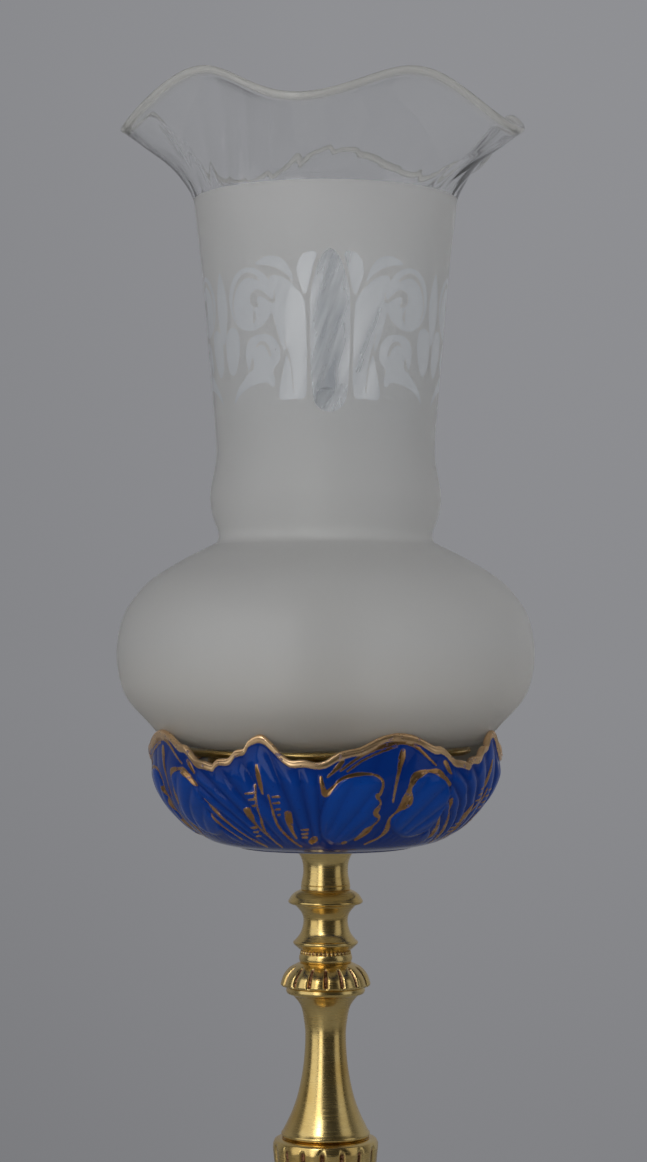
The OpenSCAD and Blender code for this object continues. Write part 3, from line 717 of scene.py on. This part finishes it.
def leafBowl():
    # a bowl section lifted to the lip, then pushed out by the leaves and flutes of each quarter
    b = bowl
    side = smoothCurve([[33.6, b["foot"] + 0.2], [42, 243.2], [47, 245.2], [53.4, 249.8], [60.3, 257],
                        [63.9, 264], [66.6, 273], [67.6, 281], [67.9, 286]], 14)
    side = resampled(side, 104)
    lip = np.array([66.5, 286]) + 1.5 * np.column_stack([np.cos(np.radians(np.linspace(15, 165, 7))),
                                                         np.sin(np.radians(np.linspace(15, 165, 7)))])
    inner = resampled(smoothCurve([[65, 286], [63.4, 275], [59.6, 265], [54.4, 257], [44, 249.3],
                                   [30, 246.3]], 8), 24)
    flat = [[6.2, 246.3], [5.6, 245.8], [5.6, 241.9], [6.2, 241.3], [33, 241.3]]
    section = np.vstack([side, lip, inner, flat])
    turn = turnsOf(b["columns"])[None, :]
    r = np.repeat(section[:, :1], b["columns"], axis=1)
    z = np.repeat(section[:, 1:], b["columns"], axis=1)
    rise = (lipHeight(turn) - b["liftFrom"]) / (b["liftTo"] - b["liftFrom"])
    z = np.where(z > b["liftFrom"], b["liftFrom"] + (z - b["liftFrom"]) * rise, z)
    quarter = (turn + math.pi / 4) % (math.pi / 2) - math.pi / 4
    quarter = np.where(quarter > math.radians(48.6), quarter - math.pi / 2, quarter)
    x = r * np.sin(quarter)
    outside = np.zeros(r.shape)
    outside[:len(side)] = 1
    onSide = slice(0, len(side))
    xs, zs = x[onSide], z[onSide]
    gilt = np.full(r.shape, -5.0)
    gilt[onSide] = giltStrokes(xs, zs)
    depth = lipHeight(turn) - z
    edge = b["giltEdge"] + 0.35 * np.sin(23 * turn) * np.cos(9 * turn) - depth
    gilt = np.maximum(gilt, edge)
    fan = xs / (zs - 228)                                    # flutes spread from the quarter's root
    near, far = leafPatch(xs, zs, leafNear), leafPatch(xs, zs, leafFar)
    flutes = np.abs(np.cos(math.pi * (fan * 5.6 + 0.3 * np.sin(fan * 5)))) ** 0.8
    fade = eased((zs - 243) / 8) * eased((lipHeight(turn) - 1.5 - zs) / 7)
    narrow = eased((-fan + 0.02) / 0.1)
    relief = b["fluteDepth"] * flutes * fade * (0.25 + 0.75 * narrow)
    sweepNear = np.abs(np.cos(math.pi * ((xs + 6) / (zs - 236) * 3.2))) ** 0.8
    sweepFar = np.abs(np.cos(math.pi * ((xs - 12) / (zs - 236) * 3.4))) ** 0.8
    relief = np.where(near > 0, eased(near / 1.3) * (1.2 + 0.7 * sweepNear * eased(near / 4)), relief)
    relief = np.where(far > 0, eased(far / 1.3) * (1.2 + 0.7 * sweepFar * eased(far / 4)), relief)
    relief = relief * eased((zs - 242.5) / 4)
    relief = relief + 0.7 * eased((edge[onSide] + 0.6) / 1.4) + 0.25 * eased((gilt[onSide] + 0.3) / 0.6)
    push = np.zeros(r.shape)
    push[onSide] = relief - 1.2                              # so that the highest relief keeps the size
    r = r + push * 0.9
    # lighter on the raised relief where the glaze runs thin, and darker in the valleys as painted shade
    thinGlazeAndShade = np.zeros(r.shape)
    thinGlazeAndShade[onSide] = np.clip(0.15 + 0.55 * relief / 1.4, 0, 1)
    white = (1 - outside) * (gilt < 0)
    tarnish = np.where(edge > -0.3, 0.0, 0.6)
    return gridMesh("leaf_bowl_glazed", r * np.sin(turn), -r * np.cos(turn), z,
                    attributes={"gilt": gilt, "thinGlazeAndShade": thinGlazeAndShade, "white": white, "tarnish": tarnish})


dress(leafBowl(), finishes["cobalt_gilt"], "lamp_body", "cobalt_gilt", "leaf_bowl")
print("leaf bowl glazed")


# the brass column, from the lower knop up

column = {
    "bore": 5.2,
    "flutes": 16,
    "footLobes": 24,
    "beads": 36,
    "corner": 0.3,
}


def turnedBrass(node, outline, shape=None, cols=160):
    # the outside runs up; the bore closes it down the middle
    bore = column["bore"]
    o = np.asarray(outline, float)
    loop = np.vstack([o, [bore, o[-1, 1]], [bore, o[0, 1]]])
    loop = easedCorners(loop, column["corner"])
    obj = turnedMesh(node + "_turned", loop, cols, shape, attributes=None if shape else {"cavity": 0.0})
    return dress(obj, finishes["brass"], "lamp_body", "brass", node)


def fluteCut(count, low, high, depth, width, start=0.0):
    # grooves between tongues: depth times a narrow hill round each groove, faded at both ends
    def shape(r, z, turn):
        wave = ((turn - math.radians(start)) * count / (2 * math.pi) + 0.5) % 1 - 0.5
        hill = np.exp(-np.abs(wave / width) ** 3)
        ends = eased((z - low) / 1.4) * eased((high - z) / 1.4) * (r > column["bore"] + 3)
        crown = 0.12 * np.cos(2 * math.pi * wave) * ends
        return r - depth * hill * ends - crown * depth, z, {"cavity": np.clip(hill * ends, 0, 1)}
    return shape


def beadRow(count, height, size):
    # a row of small round beads: the surface swells by size near each bead's middle
    def shape(r, z, turn):
        wave = ((turn * count / (2 * math.pi)) % 1 - 0.5) * 2 * math.pi * 9.6 / count
        hill = np.sqrt(np.clip(1 - (wave ** 2 + (z - height) ** 2) / size ** 2, 0, 1))
        near = np.exp(-((z - height) / size) ** 2) * (r > column["bore"] + 2)
        return r + size * 0.9 * hill * (r > column["bore"] + 2), z, {"cavity": near * (1 - hill) * 0.9}
    return shape


turnedBrass("lower_knop", np.vstack([
    [[12.4, 64.5], [12.8, 65.6], [11.4, 66.6]],
    smoothCurve([[11.2, 67.2], [16.2, 70.2], [18.2, 74.2], [16.4, 78.2], [11.6, 80.6]], 8),
    [[12.2, 81.2], [12, 82]]]))
ringArc = np.radians(np.linspace(-80, 80, 12))
turnedBrass("urn_ring", np.vstack([
    [[9.8, 82], [11.8, 82.8]],
    np.column_stack([11.8 + 1.5 * np.cos(ringArc), 84.3 + 1.5 * np.sin(ringArc)]), [[9.8, 86.5]]]))
turnedBrass("fluted_urn", np.vstack([
    [[9.2, 86.5], [9.2, 88.2]],
    smoothCurve([[10.4, 89.2], [14, 94.5], [17, 104], [19.1, 117.5], [20.1, 126.6]], 12),
    [[20.1, 128.2], [19.5, 129.6], [17.9, 130.3], [16.4, 130.3], [16.4, 129.2]]]),
    fluteCut(column["flutes"], 91, 128.4, 1.2, 0.115, -4), cols=384)
turnedBrass("baluster", np.vstack([
    [[15.4, 129.3], [15.8, 130.4], [16.9, 131.2], [17, 132.2]],
    smoothCurve([[16.2, 133.2], [12.7, 140.6], [10.3, 148.1], [8.5, 158], [7.8, 168.5],
                 [8.3, 175], [9.6, 180.6], [12.6, 184.6]], 10),
    [[14.8, 185.4], [15.2, 186.4], [14.9, 187.8]]]))
turnedBrass("fluted_collar", np.vstack([
    [[14.9, 187.8], [17, 188.3]],
    smoothCurve([[17.3, 189], [16.1, 192.2], [13.7, 195], [10.6, 196.8]], 12),
    [[10.2, 197]]]),
    fluteCut(column["flutes"], 188.2, 196.2, 1.2, 0.115), cols=384)
bandArc = np.radians(np.linspace(-36, 36, 10))
turnedBrass("beaded_band", np.vstack([
    [[9.6, 197]], np.column_stack([7.2 + 3 * np.cos(bandArc), 198.8 + 3 * np.sin(bandArc)]),
    np.column_stack([np.full(9, 9.2), np.linspace(200.6, 201.6, 9)])]),
    beadRow(column["beads"], 201.05, 0.6), cols=360)
turnedBrass("column_spool", np.vstack([
    [[9.2, 201.6], [10, 202.1], [12.3, 204.2], [12.5, 204.8], [12.2, 205.3]],
    smoothCurve([[11.7, 205.6], [9.5, 208.6], [8.5, 212.8], [9.2, 216], [11.6, 218.9]], 8),
    [[11.8, 219.3]]]))
turnedBrass("drip_ring", np.vstack([
    [[11.8, 219.3], [13.6, 219.5], [14.3, 220.1], [14.3, 220.7]],
    smoothCurve([[14.1, 221], [13.1, 222.6], [11.6, 223.9], [10.1, 224.6]], 8),
    [[10, 224.8]]]))
turnedBrass("neck_cup", np.vstack([
    [[9.4, 224.8], [9.5, 226.6], [9.2, 226.8], [9.4, 227]],
    smoothCurve([[9.3, 227.6], [8.6, 231.6], [9, 236], [11, 240]], 8),
    [[11, 240.8]]]))
print("column turned")


# the foot

def footRim():
    # the lobed border swells and dips round the foot: r and z move along the slope's normal
    outside = np.vstack([
        [[69.4, 1.5], [70, 2.1], [70, 4.2], [69.5, 5.2], [68.5, 5.6], [68.5, 12], [67.4, 12.8],
         [66.6, 13.8]],
        smoothCurve([[66.4, 14.5], [63.4, 18.6], [56.6, 22.6], [47.4, 25.2]], 12),
        [[47, 26.2], [47, 27.6], [46.2, 28.5]]])
    inside = [[40, 28.5], [40, 15.5], [44, 15.5], [44, 22], [54, 19.2], [60.5, 15.2],
              [64.5, 11.5], [66, 8.5],
              [66, 1.5]]
    loop = easedCorners(np.vstack([outside, inside]), 0.35)

    def lobes(r, z, turn):
        wave = (turn * column["footLobes"] / (2 * math.pi) + 0.5) % 1 - 0.5
        hill = np.exp(-(wave / 0.13) ** 2)
        slope = eased((66.8 - r) / 2) * eased((r - 47.2) / 2) * (z > 14) * (z > 12 + (66.4 - r) * 0.42)
        cut = 1.3 * hill * slope
        return r - 0.5 * cut, z - 0.85 * cut, {"cavity": np.clip(hill * slope, 0, 1) * 0.8}

    obj = turnedMesh("foot_rim_lobed", loop, 384, lobes)
    return dress(obj, finishes["brass"], "lamp_body", "brass", "foot_rim")


def footDome():
    outside = np.vstack([
        [[44.6, 28.5], [45, 29.2], [45, 31.2], [44.4, 32.2]],
        smoothCurve([[42.8, 32.8], [34.5, 35], [25.5, 40.5], [19, 49], [15.8, 58]], 10),
        [[17.4, 59.2], [17.9, 60.8], [17.4, 62.4], [15.2, 63.4], [13.6, 64.5]]])
    inside = np.vstack([[[5.2, 64.5], [5.2, 54], [11, 54]],
                        smoothCurve([[14.5, 49], [22, 37.5], [31, 32], [40, 28.5]], 5)])
    loop = easedCorners(np.vstack([outside, inside]), 0.4)
    obj = turnedMesh("foot_dome_spun", loop, 192, attributes={"cavity": 0.0})
    return dress(obj, finishes["brass"], "lamp_body", "brass", "foot_dome")


footRim()
footDome()
print("foot made")


# gallery, lampholder and bulb

def gallery():
    # a spun dish; its edge turns out in a flange with a rolled rim, just under the glass
    swing = np.radians(np.linspace(-80, 120, 12))
    outline = np.vstack([
        [[5.2, 246.8], [24, 246.8]],
        smoothCurve([[27.6, 247.2], [35, 251.8], [40.4, 259.2], [41.6, 262.4]], 6),
        [[43.3, 262.8], [45.1, 263.6], [45.1, 275.4], [46.6, 276.7], [54.4, 277.0]],
        np.column_stack([54.6 + 1.2 * np.cos(swing), 278.5 + 1.2 * np.sin(swing)]),
        [[53.2, 278.9], [46.6, 278.6], [43.9, 277.6], [43.9, 264]],
        smoothCurve([[40.2, 264], [39.2, 260], [34, 253], [27, 248.4]], 6),
        [[24, 248], [5.2, 248]]])
    loop = easedCorners(outline, 0.25)
    obj = turnedMesh("shade_gallery_spun", loop, 192, attributes={"cavity": 0.0})
    return dress(obj, finishes["brass"], "lamp_body", "brass", "shade_gallery")


def lampholder():
    base = np.vstack([
        [[7.4, 281], [7.8, 281.5], [7.8, 285]],
        smoothCurve([[8, 286], [11, 289], [13.3, 293], [13.8, 297]], 6),
        [[13.8, 300], [12.2, 300], [12.2, 296], [10, 291], [5.0, 290], [5.0, 281]]])
    dress(turnedMesh("holder_base_moulded", easedCorners(base, 0.3), 96), finishes["black_plastic"],
          "lamp_body", "black_plastic", "holder_base")
    skirt = np.array([
        [12.2, 300], [13.8, 300], [13.8, 302], [13.5, 302.6], [13.4, 337], [12.6, 338], [9.2, 338],
        [9, 337.6], [9, 336], [12.2, 334.5]])

    def ribs(r, z, turn):
        grip = eased((z - 303.5) / 1.5) * eased((334 - z) / 1.5) * (r > 13)
        return r - 0.35 * (0.5 + 0.5 * np.cos(36 * turn)) * grip, z, {}

    skirt = np.insert(skirt, 4, np.column_stack([np.full(18, 13.4), np.linspace(303.4, 334.2, 18)]), axis=0)
    dress(turnedMesh("holder_skirt_ribbed", easedCorners(skirt, 0.25), 288, ribs),
          finishes["black_plastic"], "lamp_body", "black_plastic", "holder_skirt")


def bulbCap():
    # the screw shell: a helix of rounded thread pressed in thin metal, r = mean + swell cos(z and turn)
    cap = {"radius": 6.7, "swell": 0.24, "pitch": 2.82, "low": 321.6, "high": 335.9}
    wall = np.column_stack([np.full(64, cap["radius"]), np.linspace(cap["low"], cap["high"], 64)])
    outline = np.vstack([[[0, 320.5], [6, 320.5], [6.4, 321.2]], wall, [[6.6, 336.4], [8, 337], [0, 337]]])

    def thread(r, z, turn):
        fade = eased((z - cap["low"]) / 1.2) * eased((cap["high"] - z) / 1.2) * (r > 6.5)
        wave = np.cos(2 * math.pi * z / cap["pitch"] - turn)
        return r + cap["swell"] * wave * fade, z, {}

    obj = turnedMesh("bulb_cap_threaded", outline, 96, thread, merge=True)
    return dress(obj, finishes["nickel"], "bulb", "nickel", "bulb_cap")


def bulbGlass():
    outer = smoothCurve([[8.2, 337], [9.4, 341], [13.6, 348.5], [17, 358], [17.5, 364], [16.2, 374],
                         [12.6, 389], [8.6, 402], [6.2, 410.5], [4.6, 415], [2.6, 417.4]], 6)
    tip = np.array([[1.2, 417.95], [0, 418.0]])
    inner = besideCurve(outer, 0.7)[::-1]
    inner = inner[inner[:, 1] > 337.6]
    loop = np.vstack([outer, tip, [[0, 417.2], [1.0, 417.1]], inner, [[7.4, 337]]])
    obj = turnedMesh("bulb_glass_blown", loop, 128, merge=True)
    return dress(obj, finishes["clear_glass"], "bulb", "clear_glass", "bulb_glass")


gallery()
lampholder()
bulbCap()
bulbGlass()
print("lampholder and bulb made")


# the CAD nodes that stay take the finish of their slot

slotOf = {part["node"]: part["material_slot"] for part in frame["record"]["subparts"]}
replaced = {"glass_shade", "leaf_bowl", "lower_knop", "urn_ring", "fluted_urn", "baluster", "fluted_collar",
            "beaded_band", "column_spool", "drip_ring", "neck_cup", "foot_rim", "foot_dome",
            "shade_gallery",
            "holder_base", "holder_skirt", "bulb_cap", "bulb_glass"}
for name, node in frame["nodes"].items():
    if name in replaced:
        continue
    for index in range(len(node.material_slots)):
        node.material_slots[index].material = finishes[slotOf[name]]
print("carried-over nodes finished:", len(frame["nodes"]) - len(replaced))


# the stage: floor, lights, room and camera

studio = {
    "floorRadius": 0.55,
    "floorShade": 0.58,
    "background": 0.262,
    "room": 0.12,                # share of that light on the camera's side
}


def floorDisc():
    # concentric rings of points, so that the disc is one closed thin slab
    rings = np.array([[0.0, -4.0], [studio["floorRadius"] / mm, -4.0], [studio["floorRadius"] / mm, 0.0],
                      [0.0, 0.0]])
    obj = turnedMesh("studio_floor", rings, 128, merge=True)
    material, tree, shader = newFinish("paleFloor")
    shade1, shade2 = studio["floorShade"], studio["floorShade"] * 0.96
    feed(tree, shader, "Base Color", blendColours(tree, spread(tree, grain(tree, 6, 3), 0.3, 0.7, 0, 1),
                                                  (shade1,) * 3, (shade2,) * 3))
    shader.inputs["Roughness"].default_value = 0.7
    obj.data.materials.append(material)
    for polygon in obj.data.polygons:
        polygon.use_smooth = False


def softbox(name, azimuth, elevation, distance, width, height, power, mirrored=True, matt=True):
    # a rectangle of light that faces the lamp's middle; azimuth 0 is the camera's side, + is right
    # one that isn't mirrored lights the matt surfaces only, one that isn't matt the shiny ones only
    light = bpy.data.lights.new(name, "AREA")
    light.shape = "RECTANGLE"
    light.size, light.size_y = width, height
    light.energy = power
    obj = bpy.data.objects.new(name, light)
    bpy.context.scene.collection.objects.link(obj)
    a, e = math.radians(azimuth), math.radians(elevation)
    obj.location = (distance * math.sin(a) * math.cos(e), -distance * math.cos(a) * math.cos(e),
                    0.33 + distance * math.sin(e))
    obj.rotation_euler = (math.pi / 2 - e, 0, a)
    obj.visible_camera = False
    obj.visible_glossy = mirrored
    obj.visible_diffuse = matt
    obj.visible_transmission = mirrored


def background():
    # grey-blue behind the lamp, fading to a dark room on the camera's side; it is even when seen
    # straight or through the glass
    world = bpy.data.worlds.new("studio")
    bpy.context.scene.world = world
    world.use_nodes = True
    tree = world.node_tree
    place = tree.nodes.new("ShaderNodeTexCoord")
    parts = tree.nodes.new("ShaderNodeSeparateXYZ")
    tree.links.new(place.outputs["Generated"], parts.inputs[0])
    low = spread(tree, parts.outputs["Z"], -0.24, -0.02, -0.045, 0)
    high = spread(tree, parts.outputs["Z"], 0.0, 0.2, 0, 0.018)
    left = spread(tree, parts.outputs["X"], -0.16, 0.0, -0.03, 0)
    wall = sums(tree, "ADD", sums(tree, "ADD", low, high), left)
    wall = sums(tree, "ADD", wall, studio["background"])
    room = spread(tree, parts.outputs["Y"], -0.05, 0.45, studio["room"], 1)
    path = tree.nodes.new("ShaderNodeLightPath")
    seen = sums(tree, "MAXIMUM", room, path.outputs["Is Camera Ray"])
    seen = sums(tree, "MAXIMUM", seen, path.outputs["Is Transmission Ray"])
    total = sums(tree, "MULTIPLY", wall, seen)
    tint = tree.nodes.new("ShaderNodeCombineColor")
    for index, share in enumerate((0.985, 0.995, 1.05)):
        tree.links.new(sums(tree, "MULTIPLY", total, share), tint.inputs[index])
    tree.links.new(tint.outputs[0], tree.nodes["Background"].inputs["Color"])


floorDisc()
softbox("leftStrip", -27, 12, 1.4, 0.48, 2.1, 5.5)
softbox("leftPanel", -62, 12, 1.5, 1.1, 1.8, 5.0, matt=False)
softbox("leftFill", -62, 12, 1.5, 1.1, 1.8, 2.4, mirrored=False)
softbox("glint", -22, 36, 1.5, 0.34, 0.22, 1.7, matt=False)
softbox("rightPanel", 67, 10, 1.5, 0.80, 1.7, 1.9)
softbox("rightFill", 60, 8, 1.8, 1.2, 1.8, 2.3, mirrored=False)
softbox("backFill", 118, 8, 1.8, 1.2, 1.8, 6.5, mirrored=False)
softbox("frontFill", -14, 10, 1.9, 1.5, 1.5, 4.4, mirrored=False)
softbox("lowFill", -10, -5, 1.4, 1.6, 0.3, 0.9, mirrored=False)
background()

view = {
    "lens": 80.55,
    "sensor": 36,
    "place": (-0.0008, -1.0, 0.3244),
    "tilt": 91.08,               # degrees from straight down
}
camera = bpy.data.cameras.new("camera")
camera.lens = view["lens"]
camera.sensor_width = view["sensor"]
cameraObject = bpy.data.objects.new("camera", camera)
bpy.context.scene.collection.objects.link(cameraObject)
cameraObject.location = view["place"]
cameraObject.rotation_euler = (math.radians(view["tilt"]), 0, 0)
bpy.context.scene.camera = cameraObject
bpy.context.scene.view_settings.view_transform = "Standard"
print("stage set")
